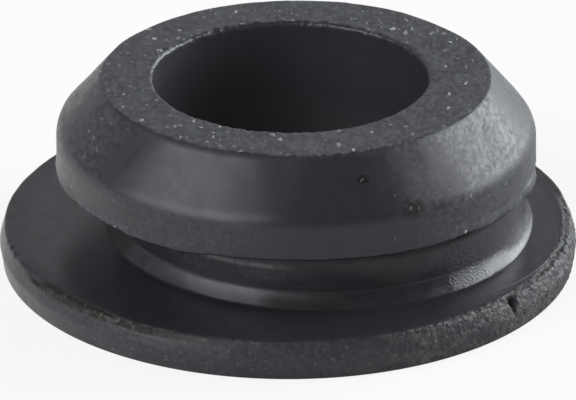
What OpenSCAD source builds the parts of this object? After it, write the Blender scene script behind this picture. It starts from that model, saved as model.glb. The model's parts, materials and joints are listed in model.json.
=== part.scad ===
// Rubber grommet: one moulded ring that lines a round hole in a panel.
// The panel's edge sits in the groove, the wide flange stays on one side of it,
// and the tapered head is squeezed through the hole and snaps out on the other.
// Origin: on the bore's axis, at the flange's flat underside. +Z points to the head.

/* [Bore] */
// Diameter of the bore that the pipe or cable passes through
bore_d = 12; // [9:0.1:13]
// Rounding of the bore's edge at the top of the head
bore_lip_r = 0.2; // [0.05:0.05:0.4]

/* [Flange] */
// Diameter of the flange
flange_d = 25.4; // [23.8:0.1:36]
// Thickness of the flange
flange_t = 1.7; // [1.2:0.1:4]
// Rounding of the flange's two outer edges
flange_edge_r = 0.12; // [0.04:0.04:0.4]
// How far the upper part of the rim leans in
rim_lean = 0.2; // [0:0.05:0.5]
// Height of the part of the rim that leans in
rim_lean_h = 0.8; // [0.5:0.05:1.2]
// How far the lower part of the rim leans in
foot_lean = 0.1; // [0:0.05:0.4]

/* [Groove] */
// Width of the groove, which takes the panel's thickness
groove_w = 2.8; // [1.6:0.1:6]
// Diameter at the floor of the groove, which fills the hole in the panel
neck_d = 18; // [16.8:0.1:18.2]
// Hollow in which the neck runs out onto the flange
root_r = 1.6; // [0.3:0.1:2]
// Angle by which that hollow breaks away from the upright neck
root_break = 20; // [0:5:45]
// Angle that it has turned through where it meets the flange
root_meet = 50; // [40:5:90]
// Height of the undercut between the neck and the head
undercut_h = 0.7; // [0.4:0.05:0.9]
// Depth of that undercut, in from the neck's wall
undercut_depth = 0.3; // [0.1:0.05:0.5]
// Fillet between the undercut and the underside of the head
crown_r = 0.2; // [0.05:0.05:0.35]

/* [Head] */
// Largest diameter of the head, over its straight band
head_d = 21; // [20.7:0.1:23]
// Height of the straight band, up to the taper
band_h = 1.7; // [1:0.1:4]
// Rounding of the band's lower edge
band_edge_r = 0.12; // [0.04:0.04:0.28]
// Rounding of the shoulder between the band and the taper
shoulder_r = 1.1; // [0.3:0.1:2.4]
// Height of the tapered nose
nose_h = 2.3; // [1.2:0.1:4]
// Diameter of the nose's flat end
nose_d = 17; // [16:0.1:19]
// Rounding of the nose's outer edge
nose_edge_r = 0.12; // [0.04:0.04:0.4]

/* [Run-out of the mould] */
// How far the groove was moulded off the bore's axis, along X
neck_shift = 1.35; // [0:0.05:1.4]
// How far the head was moulded off the bore's axis, along X
head_shift = 0.25; // [0.1:0.05:0.6]
// How far the flange was moulded off the bore's axis, against X
flange_shift = 0.1; // [0:0.05:0.5]

/* [Tear in the rim] */
// Direction of the tear round the flange, from +X
tear_angle = -40; // [-180:1:180]
// Width of the tear at the flange's top face
tear_w = 0.8; // [0.2:0.1:1.6]
// Height of the tear, down from the flange's top face
tear_h = 0.9; // [0.2:0.1:1.1]

/* [Hidden] */
$fn = 144;
ARC_STEPS = 12;
RUBBER = [0.16, 0.165, 0.175];
bore_r = bore_d / 2;
flange_r = flange_d / 2;
neck_r = neck_d / 2;
head_r = head_d / 2;
nose_r = nose_d / 2;
head_z = flange_t + groove_w;
taper_z = head_z + band_h;
top_z = taper_z + nose_h;
// Lean of the nose's wall from upright
taper = atan2(head_r - nose_r, nose_h);
// How far a cutter passes the face that it opens
past = bore_r / 4;

// Points of an arc, both ends included
function arc(centre, r, from, to) = [
    for (i = [0:ARC_STEPS])
        let (a = from + (to - from) * i / ARC_STEPS)
            centre + r * [cos(a), sin(a)]
];

// Flat disc. Its rim is widest part of the way up, and both its edges are rounded.
module flange() {
    lean = atan2(rim_lean, rim_lean_h);
    top_r = flange_r - rim_lean;
    foot_r = flange_r - foot_lean;
    rotate_extrude()
        polygon(concat(
            [[0, 0]],
            arc([foot_r - flange_edge_r, flange_edge_r], flange_edge_r, -90, 0),
            [[flange_r, flange_t - rim_lean_h]],
            arc([top_r - flange_edge_r, flange_t - flange_edge_r], flange_edge_r, lean, 90),
            [[0, flange_t]]
        ));
}

// Floor of the groove, hollowed out onto the flange and undercut below the head.
// Its ends are sunk to the middle of the flange and of the band.
module neck() {
    hollow = [neck_r + root_r * cos(root_break), flange_t + root_r * sin(root_meet)];
    root_end = hollow.x - root_r * cos(root_meet);
    undercut_z = head_z - undercut_h;
    waist_r = neck_r - undercut_depth;
    rotate_extrude()
        polygon(concat(
            [[0, flange_t / 2], [root_end, flange_t / 2]],
            arc(hollow, root_r, 180 + root_meet, 180 + root_break),
            [[neck_r, undercut_z], [waist_r, undercut_z]],
            arc([waist_r + crown_r, head_z - crown_r], crown_r, 180, 90),
            [[waist_r + crown_r, head_z + band_h / 2], [0, head_z + band_h / 2]]
        ));
}

// Straight band that bears on the panel, and the taper that leads it through the hole
module head() {
    shoulder_drop = shoulder_r * tan(taper / 2);
    nose_inset = nose_edge_r * tan((90 - taper) / 2);
    rotate_extrude()
        polygon(concat(
            [[0, head_z]],
            arc([head_r - band_edge_r, head_z + band_edge_r], band_edge_r, -90, 0),
            arc([head_r - shoulder_r, taper_z - shoulder_drop], shoulder_r, 0, taper),
            arc([nose_r - nose_inset, top_z - nose_edge_r], nose_edge_r, taper, 90),
            [[0, top_z]]
        ));
}

// Straight hole, with its upper edge rounded off
module bore() {
    translate([0, 0, -past])
        cylinder(r = bore_r, h = top_z + 2 * past);
    rotate_extrude()
        polygon(concat(
            [[bore_r - past, top_z - bore_lip_r]],
            arc([bore_r + bore_lip_r, top_z - bore_lip_r], bore_lip_r, 180, 90),
            [[bore_r + bore_lip_r, top_z + past], [bore_r - past, top_z + past]]
        ));
}

// Bite out of the rim that narrows to a point on its way down.
// The cone runs on to twice its height, so that it passes the flange's top face.
module rim_tear() {
    rotate([0, 0, tear_angle])
        translate([flange_r - rim_lean / 2, 0, flange_t - tear_h])
            cylinder(h = 2 * tear_h, r1 = 0, r2 = tear_w);
}

module grommet() {
    color(RUBBER)
        difference() {
            union() {
                translate([-flange_shift, 0, 0])
                    difference() {
                        flange();
                        rim_tear();
                    }
                translate([neck_shift, 0, 0])
                    neck();
                translate([head_shift, 0, 0])
                    head();
            }
            bore();
        }
}

grommet();
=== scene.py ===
import json
import math
import bpy
import numpy as np
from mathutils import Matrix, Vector


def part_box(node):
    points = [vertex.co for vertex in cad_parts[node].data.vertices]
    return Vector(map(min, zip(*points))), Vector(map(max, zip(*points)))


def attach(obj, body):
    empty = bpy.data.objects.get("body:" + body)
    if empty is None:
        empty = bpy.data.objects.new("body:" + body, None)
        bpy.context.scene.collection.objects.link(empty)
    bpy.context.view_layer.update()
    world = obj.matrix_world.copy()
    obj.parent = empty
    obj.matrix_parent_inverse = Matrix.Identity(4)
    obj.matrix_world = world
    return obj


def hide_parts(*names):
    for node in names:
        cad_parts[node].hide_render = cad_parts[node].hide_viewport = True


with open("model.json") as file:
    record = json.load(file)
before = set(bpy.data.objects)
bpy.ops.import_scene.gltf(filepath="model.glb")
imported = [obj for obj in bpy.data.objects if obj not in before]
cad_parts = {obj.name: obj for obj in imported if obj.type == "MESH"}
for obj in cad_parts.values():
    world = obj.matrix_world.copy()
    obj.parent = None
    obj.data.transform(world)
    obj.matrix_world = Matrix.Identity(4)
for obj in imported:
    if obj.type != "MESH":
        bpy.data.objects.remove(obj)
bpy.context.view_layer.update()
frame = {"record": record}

MM = 0.001

# ---- The grommet: the moulding ----------------------------------------------------------------
# One ring of black rubber, pressed in a mould and trimmed afterwards: flange, grooved neck and
# tapered head round one bore. It is drawn as half a section and turned about the bore's axis.
# The flange, the neck and the head were moulded a little off that axis, each by its own amount.
low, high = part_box("grommet")
mounts = {mount["name"]: mount for mount in frame["record"]["mounts"]}
groove = mounts["panel_groove"]
bore_r = mounts["bore"]["dims"]["r_mm"] * MM
neck_r = groove["dims"]["r_mm"] * MM
groove_w = groove["dims"]["length_mm"] * MM
neck_off = groove["pos_m"][0]
flange_r = (high.x - low.x) / 2
flange_off = (high.x + low.x) / 2
flange_t = groove["pos_m"][2] - groove_w / 2
head_z = flange_t + groove_w
top_z = high.z
HEAD_R = 10.5 * MM
HEAD_OFF = 0.25 * MM
BAND_H = 1.7 * MM
NOSE_R = 8.5 * MM
EDGE_R = 0.12 * MM
LIP_R = 0.2 * MM
SHOULDER_R = 1.1 * MM
ROOT_R = 1.6 * MM
ROOT_BREAK = 20
ROOT_MEET = 50
UNDERCUT_H = 0.7 * MM
UNDERCUT_DEPTH = 0.3 * MM
LEDGE_R = 0.03 * MM
CROWN_R = 0.2 * MM
RIM_LEAN = 0.2 * MM
RIM_LEAN_H = 0.8 * MM
FOOT_LEAN = 0.1 * MM
SEGMENTS = 860
WELD = 0.002 * MM


def run(start, end, steps):
    """Straight stretch of the section. A point is radius, distance off the axis, height."""
    return [Vector(start).lerp(Vector(end), i / steps) for i in range(1, steps + 1)]


def bend(centre, radius, first, last, steps):
    """Rounded stretch of the section, from one direction to another in degrees."""
    angles = [math.radians(first + (last - first) * i / steps) for i in range(steps + 1)]
    return [Vector(centre) + radius * Vector((math.cos(a), 0, math.sin(a))) for a in angles]


# The section's corners, from the bore's mouth over the head and down to the flange's foot
shoulder_z = head_z + BAND_H
taper = math.atan2(HEAD_R - NOSE_R, top_z - shoulder_z)
lean = math.degrees(taper)
drop = SHOULDER_R * math.tan(taper / 2)
inset = EDGE_R * math.tan((math.pi / 2 - taper) / 2)
hollow_r = neck_r + ROOT_R * math.cos(math.radians(ROOT_BREAK))
hollow_z = flange_t + ROOT_R * math.sin(math.radians(ROOT_MEET))
ledge_z = head_z - UNDERCUT_H
waist_r = neck_r - UNDERCUT_DEPTH
rim_tilt = math.degrees(math.atan2(RIM_LEAN, RIM_LEAN_H))
rim_top_r = flange_r - RIM_LEAN - EDGE_R
foot_r = flange_r - FOOT_LEAN - EDGE_R
throat = [Vector((bore_r, 0, top_z - 0.7 * MM))]
mouth = bend((bore_r + LIP_R, 0, top_z - LIP_R), LIP_R, 180, 90, 4)
nose_edge = bend((NOSE_R - inset, HEAD_OFF, top_z - EDGE_R), EDGE_R, 90, lean, 2)
shoulder = bend((HEAD_R - SHOULDER_R, HEAD_OFF, shoulder_z - drop), SHOULDER_R, lean, 0, 6)
band_foot = bend((HEAD_R - EDGE_R, HEAD_OFF, head_z + EDGE_R), EDGE_R, 0, -90, 3)
crown = bend((waist_r + CROWN_R, neck_off, head_z - CROWN_R), CROWN_R, 90, 180, 2)
undercut = [Vector((waist_r, neck_off, ledge_z))]
ledge = bend((neck_r - LEDGE_R, neck_off, ledge_z - LEDGE_R), LEDGE_R, 90, 0, 2)
root = bend((hollow_r, neck_off, hollow_z), ROOT_R, 180 + ROOT_BREAK, 180 + ROOT_MEET, 8)
brink = [root[0] + Vector((0, 0, 0.05 * MM))]
landing = [root[-1] + Vector((0.04 * MM, 0, 0))]
near_rim = [Vector((flange_r - 0.8 * MM, flange_off, flange_t))]
rim_top = bend((rim_top_r, flange_off, flange_t - EDGE_R), EDGE_R, 90, rim_tilt, 3)
rim_widest = [Vector((flange_r, flange_off, flange_t - RIM_LEAN_H))]
rim_foot = bend((foot_r, flange_off, EDGE_R), EDGE_R, 0, -90, 3)
corners = [
    (throat, 3), (mouth, 4), (nose_edge, 15), (shoulder, 10), (band_foot, 7), (crown, 2),
    (undercut, 2), (ledge, 2), (brink, 5), (root, 1), (landing, 1), (near_rim, 6),
    (rim_top, 6), (rim_widest, 7), (rim_foot, 6),
]
section = [Vector((bore_r, 0, 0))]
for corner, steps in corners:
    section += run(section[-1], corner[0], steps) + corner[1:]
section += run(section[-1], section[0], 4)

bpy.ops.object.select_all(action="DESELECT")
bpy.ops.mesh.primitive_plane_add(size=EDGE_R, location=(bore_r, 0, 0))
grommet = bpy.context.object
grommet.name = "moulded_ring"
bpy.ops.object.transform_apply(location=True)
bpy.ops.object.mode_set(mode="EDIT")
bpy.ops.mesh.merge(type="CENTER")
for here, there in zip(section, section[1:]):
    step = (there.x - here.x, 0, there.z - here.z)
    bpy.ops.mesh.extrude_vertices_move(TRANSFORM_OT_translate={"value": step})
bpy.ops.object.mode_set(mode="OBJECT")

off_centre = grommet.vertex_groups.new(name="off_centre")
for index, point in enumerate(section):
    off_centre.add([index], (point.y - flange_off) / (neck_off - flange_off), "REPLACE")

turn = grommet.modifiers.new("turn", "SCREW")
turn.angle = 2 * math.pi
turn.steps = turn.render_steps = SEGMENTS
turn.use_merge_vertices = True
turn.merge_threshold = WELD
bpy.ops.object.modifier_apply(modifier="turn")
bpy.ops.object.mode_set(mode="EDIT")
bpy.ops.mesh.select_all(action="SELECT")
bpy.ops.mesh.remove_doubles(threshold=WELD)
bpy.ops.mesh.normals_make_consistent(inside=False)
bpy.ops.transform.translate(value=(flange_off, 0, 0))
bpy.ops.object.mode_set(mode="OBJECT")
bpy.ops.object.shade_smooth()

slip = grommet.modifiers.new("slip", "DISPLACE")
slip.direction = "X"
slip.mid_level = 0
slip.strength = neck_off - flange_off
slip.vertex_group = "off_centre"
bpy.ops.object.modifier_apply(modifier="slip")

# ---- The grommet: its trimmed and torn edges ---------------------------------------------------
# The rim was torn off its flash and is granular along one stretch, with a nick in it and a
# flaking, crumbling upper edge on the other side. The mouth of the bore and the band's lower
# edge are ragged, and the flash left a lip and a burr on the band.
place = np.empty(len(grommet.data.vertices) * 3)
grommet.data.vertices.foreach_get("co", place)
place = place.reshape(-1, 3)
height = place[:, 2]
spread = np.hypot(place[:, 0], place[:, 1])
reach = np.hypot(place[:, 0] - flange_off, place[:, 1])
from_neck_axis = np.hypot(place[:, 0] - neck_off, place[:, 1])
angle = np.degrees(np.arctan2(place[:, 1], place[:, 0]))
NICK_ANGLE = -40.2
NICK_H = 0.95
NICK_FOOT_W = 0.04
NICK_WIDENS = 0.3
LEAST_WEIGHT = 0.002


def ramp(value, start, end):
    """From 0 at the start to 1 at the end, with no sharp bend."""
    t = np.clip((value - start) / (end - start), 0, 1)
    return t * t * (3 - 2 * t)


def stretch(first, last, fade):
    """Part of the way round the ring, in degrees from +X, with soft ends."""
    middle = (first + last) / 2
    half = (last - first) / 2
    from_middle = np.abs((angle - middle + 180) % 360 - 180)
    return 1 - ramp(from_middle, half - fade, half + fade)


def rim_side(start, end, reached=reach):
    """From 0 to 1 between two distances in from the flange's outer edge, in mm."""
    return ramp(reached, flange_r - start * MM, flange_r - end * MM)


def flange_side(start, end):
    """From 0 to 1 between two depths below the flange's top face, in mm; above it if negative."""
    return ramp(height, flange_t - start * MM, flange_t - end * MM)


def bore_side(start, end):
    """From 0 to 1 between two distances out from the bore's wall, in mm."""
    return ramp(spread, bore_r + start * MM, bore_r + end * MM)


def wear(name, weight, direction, strength, pattern=None, level=0.5):
    """Moves the surface where a weight says, by a pattern or by the same amount all over."""
    group = grommet.vertex_groups.new(name=name)
    for index in np.nonzero(weight > LEAST_WEIGHT)[0]:
        group.add([int(index)], float(weight[index]), "REPLACE")
    move = grommet.modifiers.new(name, "DISPLACE")
    move.vertex_group = name
    move.direction = direction
    move.strength = strength
    move.mid_level = level if pattern else 0
    if pattern:
        move.texture = pattern
        move.texture_coords = "LOCAL"
    bpy.ops.object.select_all(action="DESELECT")
    bpy.context.view_layer.objects.active = grommet
    bpy.ops.object.modifier_apply(modifier=name)


def grain(name, size):
    """Cloudy pattern with lumps of one size."""
    pattern = bpy.data.textures.new(name, "CLOUDS")
    pattern.noise_scale = size
    pattern.noise_depth = 1
    return pattern


unevenness = grain("unevenness", 2.6 * MM)
lumps = grain("lumps", 0.3 * MM)
flakes = grain("flakes", 0.45 * MM)
waves = grain("waves", 0.9 * MM)

# The flange and its rim
on_rim = rim_side(0.5, 0.3)
above_foot = ramp(height, 0.02 * MM, 0.2 * MM)
flat_top = flange_side(-0.1, 0) * (1 - on_rim)
upper_edge = on_rim * flange_side(0.4, 0.05)
last_edge = rim_side(0.45, 0.25) * flange_side(0.2, 0.05)
broken = rim_side(0.62, 0.4) * flange_side(0.4, 0.1)
broken *= stretch(-57, 12, 2)
torn = on_rim * above_foot * (stretch(-50, 10, 6) + 0.4 * stretch(-76, -44, 8))
torn = np.maximum(torn, 0.5 * broken).clip(0, 1)
crumbled = rim_side(0.38, 0.26, reach + 0.22 * MM * stretch(-148, -127, 4))
crumbled *= flange_side(0.38, 0.2)
crumbled *= stretch(-154, -114, 4) + 0.5 * stretch(-114, -97, 3)
nick_width = flange_side(NICK_H, 0) * NICK_WIDENS * MM + NICK_FOOT_W * MM
nick_off = np.abs(np.radians(angle - NICK_ANGLE) * flange_r)
nick = on_rim * np.clip(1 - nick_off / nick_width, 0, 1)

# The groove: hollow, ledge and undercut
hollow_foot = flange_side(-0.7, -0.2) * (from_neck_axis < neck_r + 0.6 * MM)
ledge_top = ramp(height, ledge_z - 0.7 * MM, ledge_z - 0.1 * MM)
ledge_top *= ramp(height, ledge_z + 0.45 * MM, ledge_z + 0.05 * MM)
ledge_top *= bore_side(0.5, 1)
neck_edge = ramp(height, ledge_z - 0.25 * MM, ledge_z - 0.05 * MM)
neck_edge *= ramp(height, ledge_z + 0.1 * MM, ledge_z)
neck_edge *= ramp(from_neck_axis, neck_r - 0.2 * MM, neck_r - 0.05 * MM)
in_undercut = (height < head_z - 0.1 * MM) * (height > ledge_z - 0.05 * MM)
in_undercut = in_undercut * (from_neck_axis < neck_r - 0.15 * MM) * bore_side(0.5, 1)

# The head: end face, mouth of the bore, and lower edge of the band
on_head = ramp(height, head_z, head_z + 0.1 * MM) * bore_side(0.4, 0.8)
end_face = bore_side(0.02, 0.15) * ramp(height, top_z - 0.06 * MM, top_z - 0.01 * MM)
mouth_edge = bore_side(0.5, 0.2) * ramp(height, top_z - 0.25 * MM, top_z - 0.1 * MM)
band_edge = ramp(height, head_z + 0.4 * MM, head_z + 0.1 * MM)
band_edge *= ramp(height, head_z - 0.05 * MM, head_z)
band_edge *= ramp(spread, HEAD_R - 0.5 * MM, HEAD_R - 0.4 * MM)
flash_lip = 0.6 * stretch(-72, -10, 6) + 0.35 * stretch(-129, -112, 4)
flash_lip = (flash_lip + 0.4 * stretch(-178, -129, 4)).clip(0, 1)
ragged_band = band_edge * (0.5 + 0.5 * stretch(-170, -125, 6))
sagging_lip = band_edge * (stretch(-42, -20, 5) + stretch(-132, -110, 5))

wear("uneven", above_foot * (1 - 0.75 * flat_top), "NORMAL", 0.09 * MM, unevenness)
wear("torn_rim", torn, "NORMAL", 0.10 * MM, lumps, 0.55)
wear("torn_edge", upper_edge * torn, "Z", 0.05 * MM, lumps, 0.6)
wear("broken", broken, "Z", -0.08 * MM)
wear("gritty_end", end_face, "Z", 0.02 * MM, flakes)
wear("ragged_mouth", mouth_edge, "NORMAL", 0.09 * MM, lumps)
wear("ragged_band", ragged_band, "NORMAL", 0.09 * MM, lumps)
wear("flash_lip", band_edge * flash_lip, "NORMAL", 0.16 * MM)
wear("flash_waves", band_edge * flash_lip, "NORMAL", 0.14 * MM, waves)
wear("sagging_lip", sagging_lip, "Z", -0.09 * MM)
wear("low_ledge", ledge_top * stretch(-31, 25, 13), "Z", -0.2 * MM)
wear("high_ledge", ledge_top * stretch(-140, -62, 8), "Z", 0.13 * MM)
wear("tight_hollow", hollow_foot * stretch(-20, 50, 10), "X", -0.14 * MM)
wear("burr", band_edge * stretch(-20, -9, 3), "NORMAL", 0.12 * MM)
wear("shallow", in_undercut, "NORMAL", 0.1 * MM)
wear("ragged_neck", neck_edge * stretch(-75, 0, 10), "Z", 0.06 * MM, lumps)
wear("nick", nick * flange_side(NICK_H, 0.3), "NORMAL", -0.5 * MM)
wear("flake", last_edge * stretch(-152.5, -148.5, 1), "Z", -0.14 * MM)
wear("flaked_edge", last_edge * stretch(-170, -98, 6), "Z", -0.15 * MM, flakes, 0.42)
wear("crumbled", crumbled, "Z", -0.07 * MM)

# ---- The grommet: its rubber -------------------------------------------------------------------
# Black rubber with a satin mould skin. A dry grey bloom and light grit lie on the end face and
# on the scuffed side of the head, and the torn stretch of the rim shows the rubber's grain. Shade
# is painted into the groove, the nick and along the nose, and light into the undercut, the bore and
# along the neck.
in_groove = ramp(height, head_z, head_z - 0.1 * MM) * rim_side(0.8, 1.2)
hollow_skin = hollow_foot * in_groove
neck_skin = in_groove * (height > hollow_z)
rim_skin = on_rim * above_foot


def mark(name, weight):
    """Marks a part of the surface on the mesh, for the rubber to read."""
    marked = grommet.data.attributes.new(name, "FLOAT", "POINT")
    marked.data.foreach_set("value", np.clip(weight, 0, 1).astype(np.float32))


# Dust, scuffs, rubbing, and a painted highlight along the neck
shoulder_side = ramp(height, shoulder_z, shoulder_z - 0.2 * MM) * stretch(-150, -98, 12)
dust = end_face + on_head * (0.8 * stretch(-56, 80, 14) + 0.6 * stretch(150, 214, 12))
dust += neck_skin * (0.45 * stretch(-136, -92, 10) + 0.25 * stretch(-60, -10, 8))
dust += band_edge * stretch(-152, -132, 4)
dust += 0.35 * rim_skin * stretch(-160, -72, 12)
dust += 0.3 * on_head * shoulder_side
mark("dusty", dust)
mark("scuffed", on_head * stretch(-64, 80, 14))
rubbed = (stretch(-47.5, -35, 1.5) + 0.3 * stretch(-60, -6, 6)).clip(0, 1)
mark("rubbed", in_groove * (1 - flat_top) * rubbed)
# Painted highlight: a pale line along the neck's wall, where its edge catches the light
mark("neck_highlight", neck_skin * stretch(-122, -92, 4))

# Torn and crumbled rubber, painted shade in the nick, and the line that the flash left on the
# flange
torn_ledge = rim_side(0.74, 0.6) * flange_side(0.4, 0.1) * stretch(-35, 8, 4)
thinly_torn = 0.75 * rim_skin * stretch(-72, -40, 6)
mark("torn", np.maximum.reduce([torn, broken, thinly_torn, 0.7 * torn_ledge]))
# Painted shade: the inside of the nick is painted dark
mark("nick_shade", nick * flange_side(NICK_H, 0.8) * 3)
mark("crumbly", crumbled)
mark("flat_top", flat_top * (1 - np.maximum(torn, broken)))
mark("flash", flat_top * (stretch(-42, -22, 4) + 0.3 * stretch(-22, -4, 4)))

# Painted shade in the groove and along the nose, dull stretches of the groove, and painted light in
# the undercut and on the bore's wall
behind_ledge = (from_neck_axis < neck_r - 0.01 * MM) * in_groove * (height > ledge_z - 0.25 * MM)
# Painted light: the undercut behind the ledge is painted a pale grey for the light bouncing into
# it, less at its right
mark("undercut", behind_ledge * (1 - 0.7 * stretch(-46, -14, 5)))
# Painted shade: the hollow's left half, under the head's overhang, is painted darker
mark("hollow_shade", hollow_skin * (1 - flat_top) * stretch(-190, -95, 10))
ledge_line = ramp(np.abs(height - ledge_z), 0.25 * MM, 0.1 * MM)
mark("ledge_edge", ledge_top * ledge_line * in_groove)
brink_line = np.abs(height - brink[0].z) < 0.12 * MM
# Dull stretches of the groove, also painted dark: painted shade on the neck's left wall under the
# head, and over stretches of the hollow's and the brink's highlights
matt_and_shade_hollow = 0.3 * stretch(-124, -97, 4) + 0.6 * stretch(-139, -124, 4) + stretch(-97, -74, 4)
matt_and_shade = in_groove * (from_neck_axis < neck_r + 0.5 * MM) * stretch(-215, -148, 9)
matt_and_shade += hollow_skin * matt_and_shade_hollow
matt_and_shade += 0.6 * in_groove * brink_line * stretch(-100, -60, 6)
mark("matt_and_shade", matt_and_shade)
# Painted shade: a dark line along the nose's rounded edge, in place of its dark reflection
nose_line = np.abs(height - top_z + 0.04 * MM) < 0.02 * MM
mark("nose_shade_line", nose_line * (spread > NOSE_R - 0.6 * MM) * 0.75 * stretch(-160, -84, 10))
mark("groove", in_groove)
# Painted light: the bore's wall is painted paler towards its left and deeper down, where it lies in
# shade
bore_painted_light = 0.1 + 0.7 * ramp(place[:, 0], 3 * MM, -4 * MM)
bore_painted_light += 0.5 * ramp(height, top_z - 3.5 * MM, top_z - 6 * MM)
mark("inside", bore_side(0.06, 0.01) * bore_painted_light)

# The helpers that follow add to the nodes of the material in hand
rubber = bpy.data.materials.new("black_rubber")
rubber.use_nodes = True
nodes, links = rubber.node_tree.nodes, rubber.node_tree.links
surface = nodes["Principled BSDF"]
body = nodes.new("ShaderNodeTexCoord").outputs["Object"]


def feed(value, socket):
    """Sets a socket to a number or a colour, or links it to another node's output."""
    if isinstance(value, bpy.types.NodeSocket):
        links.new(value, socket)
    else:
        socket.default_value = value


def zone(name):
    """Part of the surface that was marked on the mesh."""
    node = nodes.new("ShaderNodeAttribute")
    node.attribute_name = name
    return node.outputs["Fac"]


def calc(operation, first, *others):
    """One kind of sum over two or more values, from left to right."""
    for other in others:
        node = nodes.new("ShaderNodeMath")
        node.operation = operation
        feed(first, node.inputs[0])
        feed(other, node.inputs[1])
        first = node.outputs[0]
    return first


def calc_place(operation, *terms):
    """Sum over places on the body."""
    node = nodes.new("ShaderNodeVectorMath")
    node.operation = operation
    for term, socket in zip(terms, node.inputs):
        feed(term, socket)
    return node.outputs


def span(value, low_in, high_in, low_out=0.0, high_out=1.0):
    """Stretches a value from one span to another, and keeps it inside the second."""
    node = nodes.new("ShaderNodeMapRange")
    for number, socket in zip((value, low_in, high_in, low_out, high_out), node.inputs):
        feed(number, socket)
    return node.outputs["Result"]


def blend(amount, first, second):
    """Colour between two colours."""
    node = nodes.new("ShaderNodeMix")
    node.data_type = "RGBA"
    feed(amount, node.inputs["Factor"])
    feed(first, node.inputs["A"])
    feed(second, node.inputs["B"])
    return node.outputs["Result"]


def drawn_out(longer):
    """Place on the body, squeezed so that a pattern comes out longer from front to back."""
    return calc_place("MULTIPLY", body, (1, 1 / longer, 1))["Vector"]


def speckle(size, detail=2.0, rough=0.5, longer=1.0):
    """Cloudy pattern, from 0 to 1, whose lumps have about the given size in metres."""
    node = nodes.new("ShaderNodeTexNoise")
    feed(drawn_out(longer), node.inputs["Vector"])
    feed(1 / size, node.inputs["Scale"])
    feed(detail, node.inputs["Detail"])
    feed(rough, node.inputs["Roughness"])
    return node.outputs["Fac"]


def cells(size, longer=1.0):
    """Grains packed side by side, with uneven outlines: how far from its middle, and its colour."""
    squeezed = drawn_out(longer)
    wobble = nodes.new("ShaderNodeTexNoise")
    feed(squeezed, wobble.inputs["Vector"])
    feed(2.2 / size, wobble.inputs["Scale"])
    shaken = calc_place("MULTIPLY_ADD", wobble.outputs["Color"], (size, size, size), squeezed)
    node = nodes.new("ShaderNodeTexVoronoi")
    feed(shaken["Vector"], node.inputs["Vector"])
    feed(1 / size, node.inputs["Scale"])
    pick = nodes.new("ShaderNodeSeparateColor")
    feed(node.outputs["Color"], pick.inputs["Color"])
    return node.outputs["Distance"], pick.outputs


def grit(size, share, radius):
    """Scattered grains of uneven size and outline, in a share of the cells of the given size."""
    distance, own = cells(size, 1.8)
    kept = span(own["Red"], 1 - share, 1 - share + 0.02)
    reached = calc("SUBTRACT", span(own["Green"], 0, 1, 0.35 * radius, radius), distance)
    shade = span(own["Blue"], 0, 1, 0.25, 1)
    return calc("MULTIPLY", kept, shade, span(reached, 0, 0.08))


def near(point, radius):
    """Round spot about a point on the surface, both in mm: 1 in the middle, 0 at its edge."""
    distance = calc_place("DISTANCE", body, Vector(point) * MM)["Value"]
    edge = radius * MM
    return span(distance, edge * 0.6, edge, 1, 0)


# Skin, with painted light on the bore's wall, paler towards its left and deeper down where it lies
# in shade, and the dry bloom over it
SKIN = (0.0200, 0.0210, 0.0238, 1)
PALE_SKIN = (0.025, 0.026, 0.029, 1)
BORE_PAINTED_LIGHT = (0.045, 0.046, 0.050, 1)
BLOOM = (0.060, 0.062, 0.066, 1)
dusty = zone("dusty")
scuffed = zone("scuffed")
patches = span(speckle(1.2 * MM, 3), 0.35, 0.65)
bloom = calc("MULTIPLY", dusty, span(speckle(0.2 * MM, 3, longer=1.8), 0.40, 0.62))
colour = blend(span(patches, 0, 1, 0, 0.35), SKIN, PALE_SKIN)
colour = blend(zone("inside"), colour, BORE_PAINTED_LIGHT)
colour = blend(bloom, colour, BLOOM)

# Torn rubber, in grains
TORN = (0.100, 0.097, 0.088, 1)
TORN_GRAIN = 0.26 * MM
torn_zone = zone("torn")
grain_distance, grain_own = cells(TORN_GRAIN)
grain_shade = span(grain_own["Red"], 0.4, 1, 0.02, 1.2)
grain_shade = calc("MULTIPLY", grain_shade, span(speckle(0.12 * MM, 3), 0.3, 0.65, 0.25, 1))
colour = blend(calc("MULTIPLY", torn_zone, grain_shade), colour, TORN)

# Painted shade in the groove and along the nose, the flash's line on the flange, a painted
# highlight along the neck, painted bounce light in the undercut, and painted shade in the nick
PAINTED_SHADE = (0.007, 0.007, 0.008, 1)
HOLLOW_SHADE_STRENGTH = 0.4
FLASH = (0.16, 0.16, 0.155, 1)
FLASH_CENTRE = (4.27 * MM, -1.62 * MM, flange_t)
FLASH_R = 7.4 * MM
FLASH_W = 0.045 * MM
# Painted highlight along the neck's wall, a pale line at one height
NECK_HIGHLIGHT = (0.13, 0.13, 0.135, 1)
NECK_HIGHLIGHT_Z = 3.44 * MM
NECK_HIGHLIGHT_W = 0.16 * MM
NECK_HIGHLIGHT_CORE = 0.03 * MM
# Painted bounce light in the undercut
UNDERCUT_BOUNCE_LIGHT = (0.12, 0.122, 0.13, 1)
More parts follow.
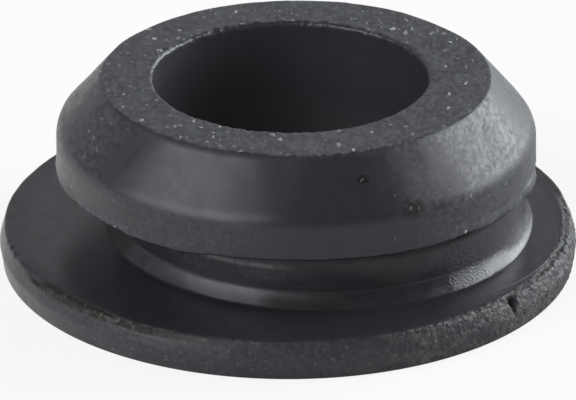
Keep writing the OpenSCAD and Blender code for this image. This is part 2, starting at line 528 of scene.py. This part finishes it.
# Painted shade in the nick
NICK_SHADE = (0.012, 0.012, 0.015, 1)
matt_and_shade_zone = zone("matt_and_shade")
nose_shade_zone = zone("nose_shade_line")
painted_shade_zone = calc("MAXIMUM", nose_shade_zone, calc("MULTIPLY", zone("hollow_shade"), HOLLOW_SHADE_STRENGTH), matt_and_shade_zone)
colour = blend(painted_shade_zone, colour, PAINTED_SHADE)
from_centre = calc_place("DISTANCE", body, FLASH_CENTRE)["Value"]
off_line = calc("ABSOLUTE", calc("SUBTRACT", from_centre, FLASH_R), 0.0)
flash_line = calc("MULTIPLY", span(off_line, FLASH_W, 0), zone("flash"))
colour = blend(flash_line, colour, FLASH)
body_axes = nodes.new("ShaderNodeSeparateXYZ")
feed(body, body_axes.inputs[0])
off_highlight = calc("ABSOLUTE", calc("SUBTRACT", body_axes.outputs["Z"], NECK_HIGHLIGHT_Z), 0.0)
neck_highlight = calc("MULTIPLY", zone("neck_highlight"), span(off_highlight, NECK_HIGHLIGHT_W, NECK_HIGHLIGHT_CORE))
neck_highlight = calc("MULTIPLY", neck_highlight, span(speckle(0.4 * MM, 3), 0.35, 0.55, 0.45, 1))
colour = blend(neck_highlight, colour, NECK_HIGHLIGHT)
colour = blend(zone("undercut"), colour, UNDERCUT_BOUNCE_LIGHT)
nick_shade_zone = zone("nick_shade")
colour = blend(nick_shade_zone, colour, NICK_SHADE)

# Crumbs on the crumbled edge, and grit in the dust
CRUMB_GAP = (0.013, 0.012, 0.010, 1)
CRUMB = (0.085, 0.080, 0.064, 1)
GRIT = (0.34, 0.34, 0.32, 1)
crumbs = span(speckle(0.17 * MM, 3), 0.5, 0.68, 0, 0.35)
crumbs = calc("MAXIMUM", grit(0.26 * MM, 0.5, 0.5), crumbs)
crumbly = calc("MULTIPLY", zone("crumbly"), span(speckle(0.6 * MM, 3), 0.38, 0.5, 0.45, 1))
colour = blend(crumbly, colour, blend(crumbs, CRUMB_GAP, CRUMB))
gritty = calc("MULTIPLY", span(dusty, 0.82, 0.95), span(speckle(1.6 * MM), 0.38, 0.6, 0.25, 1))
grains = calc("MULTIPLY", grit(0.28 * MM, 0.27, 0.43), gritty)
fine_grains = calc("MULTIPLY", grit(0.19 * MM, 0.14, 0.42), calc("MAXIMUM", dusty, torn_zone))
colour = blend(calc("MAXIMUM", grains, calc("MULTIPLY", fine_grains, 0.5)), colour, GRIT)

# Two stains on the head, one bright grain on the band and faint ones about them
STAIN = (0.006, 0.006, 0.005, 1)
FAINT = (0.11, 0.11, 0.105, 1)
stains = calc("MAXIMUM", near((5.2, -9.1, 6.35), 0.6), near((3.05, -8.9, 7.55), 0.3))
stains = calc("MULTIPLY", stains, span(speckle(0.3 * MM), 0.35, 0.6))
colour = blend(stains, colour, STAIN)
colour = blend(near((7.46, -7.72, 4.6), 0.1), colour, GRIT)
faint_grains = [
    ((2.97, -8.94, 7.53), 0.05),
    ((3.03, -8.9, 7.59), 0.05),
    ((2.9, -8.96, 7.45), 0.04),
    ((5.08, -9.15, 6.38), 0.07),
    ((5.42, -9.02, 6.32), 0.06),
    ((4.9, -9.2, 6.5), 0.06),
    ((4.4, -8.99, 6.88), 0.055),
    ((4.41, -9.64, 5.21), 0.05),
    ((6.24, -8.62, 5.53), 0.045),
]
for point, radius in faint_grains:
    colour = blend(near(point, radius), colour, FAINT)
feed(colour, surface.inputs["Base Color"])

# Gloss: satin skin, shinier in the groove, duller where it is dusty, torn, scuffed or matt
SPECULAR = 0.4
SATIN_LEAST = 0.32
SATIN_MOST = 0.40
GROOVE_SHINE = 0.07
BLOOM_DULLS = 0.2
TORN_DULLS = 0.12
SCUFFS_SHINE = 0.03
SCUFFS_DULL = 0.09
MATT_DULLS = 0.45
roughness = span(speckle(0.5 * MM, 3), 0.3, 0.7, SATIN_LEAST, SATIN_MOST)
roughness = calc("SUBTRACT", roughness, calc("MULTIPLY", zone("groove"), GROOVE_SHINE))
roughness = calc("ADD", roughness, calc("MULTIPLY", bloom, BLOOM_DULLS))
roughness = calc("ADD", roughness, calc("MULTIPLY", torn_zone, TORN_DULLS))
scuffs = span(speckle(0.16 * MM, 3), 0.3, 0.7, -SCUFFS_SHINE, SCUFFS_DULL)
roughness = calc("ADD", roughness, calc("MULTIPLY", scuffed, scuffs))
dull = calc("MAXIMUM", nick_shade_zone, crumbly, zone("ledge_edge"), matt_and_shade_zone, nose_shade_zone)
roughness = calc("ADD", roughness, calc("MULTIPLY", dull, MATT_DULLS))
feed(roughness, surface.inputs["Roughness"])
feed(SPECULAR, surface.inputs["Specular IOR Level"])

# Relief, as heights in metres
SKIN_RELIEF = 0.0035 * MM
FLASH_RELIEF = 0.018 * MM
ROUGH_RELIEF = 0.022 * MM
DUST_SHARE = 0.07
TORN_SHARE = 0.5
RUBBED_RELIEF = 0.04 * MM
GRAIN_RELIEF = 0.06 * MM
GRIT_RELIEF = 0.05 * MM
skin_relief = span(zone("flat_top"), 0, 1, SKIN_RELIEF, 0.0)
relief = calc("MULTIPLY", speckle(0.14 * MM, 3), skin_relief)
relief = calc("ADD", relief, calc("MULTIPLY", flash_line, FLASH_RELIEF))
coarse = calc("MULTIPLY", calc("MAXIMUM", dusty, scuffed), DUST_SHARE)
coarse = calc("MAXIMUM", coarse, calc("MULTIPLY", torn_zone, TORN_SHARE))
rough_relief = calc("MULTIPLY", speckle(0.26 * MM, 3, 0.55), ROUGH_RELIEF)
relief = calc("ADD", relief, calc("MULTIPLY", rough_relief, coarse))
rubbed_relief = calc("MULTIPLY", speckle(0.12 * MM, 3, 0.6), RUBBED_RELIEF)
relief = calc("ADD", relief, calc("MULTIPLY", rubbed_relief, zone("rubbed")))
grain_relief = span(grain_distance, 0, 0.7, GRAIN_RELIEF, 0)
relief = calc("ADD", relief, calc("MULTIPLY", grain_relief, torn_zone))
relief = calc("ADD", relief, calc("MULTIPLY", grains, GRIT_RELIEF))
bump = nodes.new("ShaderNodeBump")
feed(1.0, bump.inputs["Strength"])
feed(1.0, bump.inputs["Distance"])
feed(relief, bump.inputs["Height"])
feed(bump.outputs["Normal"], surface.inputs["Normal"])
grommet.data.materials.append(rubber)

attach(grommet, "root")
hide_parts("grommet")

# ---- Table, lamps and camera ----------------------------------------------------------------
# The ring stands on a white sheet before a white backdrop, dark above. A wide soft lamp lights it
# from the left, and three smaller ones stand at the right, from beside it round to behind it.
WHITE = (1, 1, 1, 1)
COLD = (0.93, 0.96, 1)

# White sheet. In the rubber's sheen it glows behind the ring and at its left
SHEET_W = 1.2
SHEET_BACK = 0.2
PAPER = (0.7, 0.7, 0.7, 1)
PAPER_ROUGHNESS = 0.9
PAPER_SEEN = 0.85
bpy.ops.mesh.primitive_plane_add(size=SHEET_W, location=(0, SHEET_BACK, 0))
floor = bpy.context.object
floor.name = "white_sheet"
sheet = bpy.data.materials.new("white_sheet")
sheet.use_nodes = True
nodes, links = sheet.node_tree.nodes, sheet.node_tree.links
paper = nodes["Principled BSDF"]
feed(PAPER, paper.inputs["Base Color"])
feed(PAPER_ROUGHNESS, paper.inputs["Roughness"])
glow = nodes.new("ShaderNodeEmission")
path = nodes.new("ShaderNodeLightPath")
floor_axes = nodes.new("ShaderNodeSeparateXYZ")
feed(nodes.new("ShaderNodeTexCoord").outputs["Object"], floor_axes.inputs[0])
far = span(floor_axes.outputs["Y"], -7 * MM, 5 * MM)
far_left = span(floor_axes.outputs["X"], 0, -12 * MM)
mirrored = calc("MULTIPLY", calc("MAXIMUM", far, far_left), path.outputs["Is Glossy Ray"])
seen = calc("MULTIPLY", path.outputs["Is Camera Ray"], PAPER_SEEN)
mix = nodes.new("ShaderNodeMixShader")
feed(calc("MAXIMUM", seen, mirrored), mix.inputs[0])
feed(paper.outputs[0], mix.inputs[1])
feed(glow.outputs[0], mix.inputs[2])
feed(mix.outputs[0], nodes["Material Output"].inputs["Surface"])
floor.data.materials.append(sheet)

# White backdrop, and a weak light from all round. The sheen shows the backdrop low and behind
FILL = 0.205
FILL_MIRRORED = 0.07
world = bpy.data.worlds.new("studio")
bpy.context.scene.world = world
world.use_nodes = True
nodes, links = world.node_tree.nodes, world.node_tree.links
path = nodes.new("ShaderNodeLightPath")
seen = path.outputs["Is Camera Ray"]
mirrored = calc("MAXIMUM", path.outputs["Is Glossy Ray"], path.outputs["Is Transmission Ray"])
backdrop = nodes["Background"]
feed(1.0, backdrop.inputs["Strength"])
feed(blend(mirrored, WHITE, (*COLD, 1)), backdrop.inputs["Color"])
fill = nodes.new("ShaderNodeBackground")
feed(WHITE, fill.inputs["Color"])
feed(span(calc("ADD", mirrored, seen), 0, 1, FILL, FILL_MIRRORED), fill.inputs["Strength"])
way = nodes.new("ShaderNodeSeparateXYZ")
feed(nodes.new("ShaderNodeTexCoord").outputs["Generated"], way.inputs[0])
behind = span(way.outputs["Z"], 0.75, 0.45, 0, 0.6)
behind = calc("MULTIPLY", behind, span(way.outputs["Y"], 0.1, 0.7))
behind = calc("MULTIPLY", behind, span(way.outputs["Z"], 0.02, 0.3, 0.25, 1))
horizon = span(way.outputs["Z"], 0.25, 0.08, 0, 0.45)
shown = calc("MULTIPLY", mirrored, calc("MAXIMUM", behind, horizon))
mix = nodes.new("ShaderNodeMixShader")
feed(calc("MAXIMUM", seen, shown), mix.inputs[0])
feed(fill.outputs[0], mix.inputs[1])
feed(backdrop.outputs[0], mix.inputs[2])
feed(mix.outputs[0], nodes["World Output"].inputs["Surface"])

# Lamps, each turned towards the middle of the ring
AIM = Vector((0, 0, 2.6 * MM))


def lamp(name, place, size, power):
    """Soft four-sided lamp that faces the ring. Its size is its width and height."""
    bpy.ops.object.light_add(type="AREA", location=place)
    light = bpy.context.object
    light.name = name
    light.rotation_euler = (AIM - Vector(place)).to_track_quat("-Z", "Y").to_euler()
    light.data.shape = "RECTANGLE"
    light.data.size, light.data.size_y = size
    light.data.energy = power
    light.data.color = COLD


lamp("left_lamp", (-0.275, -0.19, 0.22), (0.38, 0.31), 1.7)
lamp("right_front_lamp", (0.357, 0.063, 0.169), (0.15, 0.27), 0.98)
lamp("right_lamp", (0.312, 0.210, 0.137), (0.20, 0.23), 1.0)
lamp("right_back_lamp", (0.231, 0.296, 0.137), (0.16, 0.16), 0.36)

# Camera, level across the front of the ring and looking down on it
ELEVATION = math.radians(25.37)
DISTANCE = 18 * flange_r
LENS = 323
SENSOR_W = 36
target = Vector((flange_off, 0, 2.52 * MM))
ahead = DISTANCE * math.cos(ELEVATION)
bpy.ops.object.camera_add(location=(flange_off, -ahead, DISTANCE * math.sin(ELEVATION)))
camera = bpy.context.object
camera.data.lens = LENS
camera.data.sensor_width = SENSOR_W
camera.data.clip_start = 0.01
camera.rotation_euler = (target - camera.location).to_track_quat("-Z", "Y").to_euler()
bpy.context.scene.camera = camera
bpy.context.scene.view_settings.view_transform = "Standard"
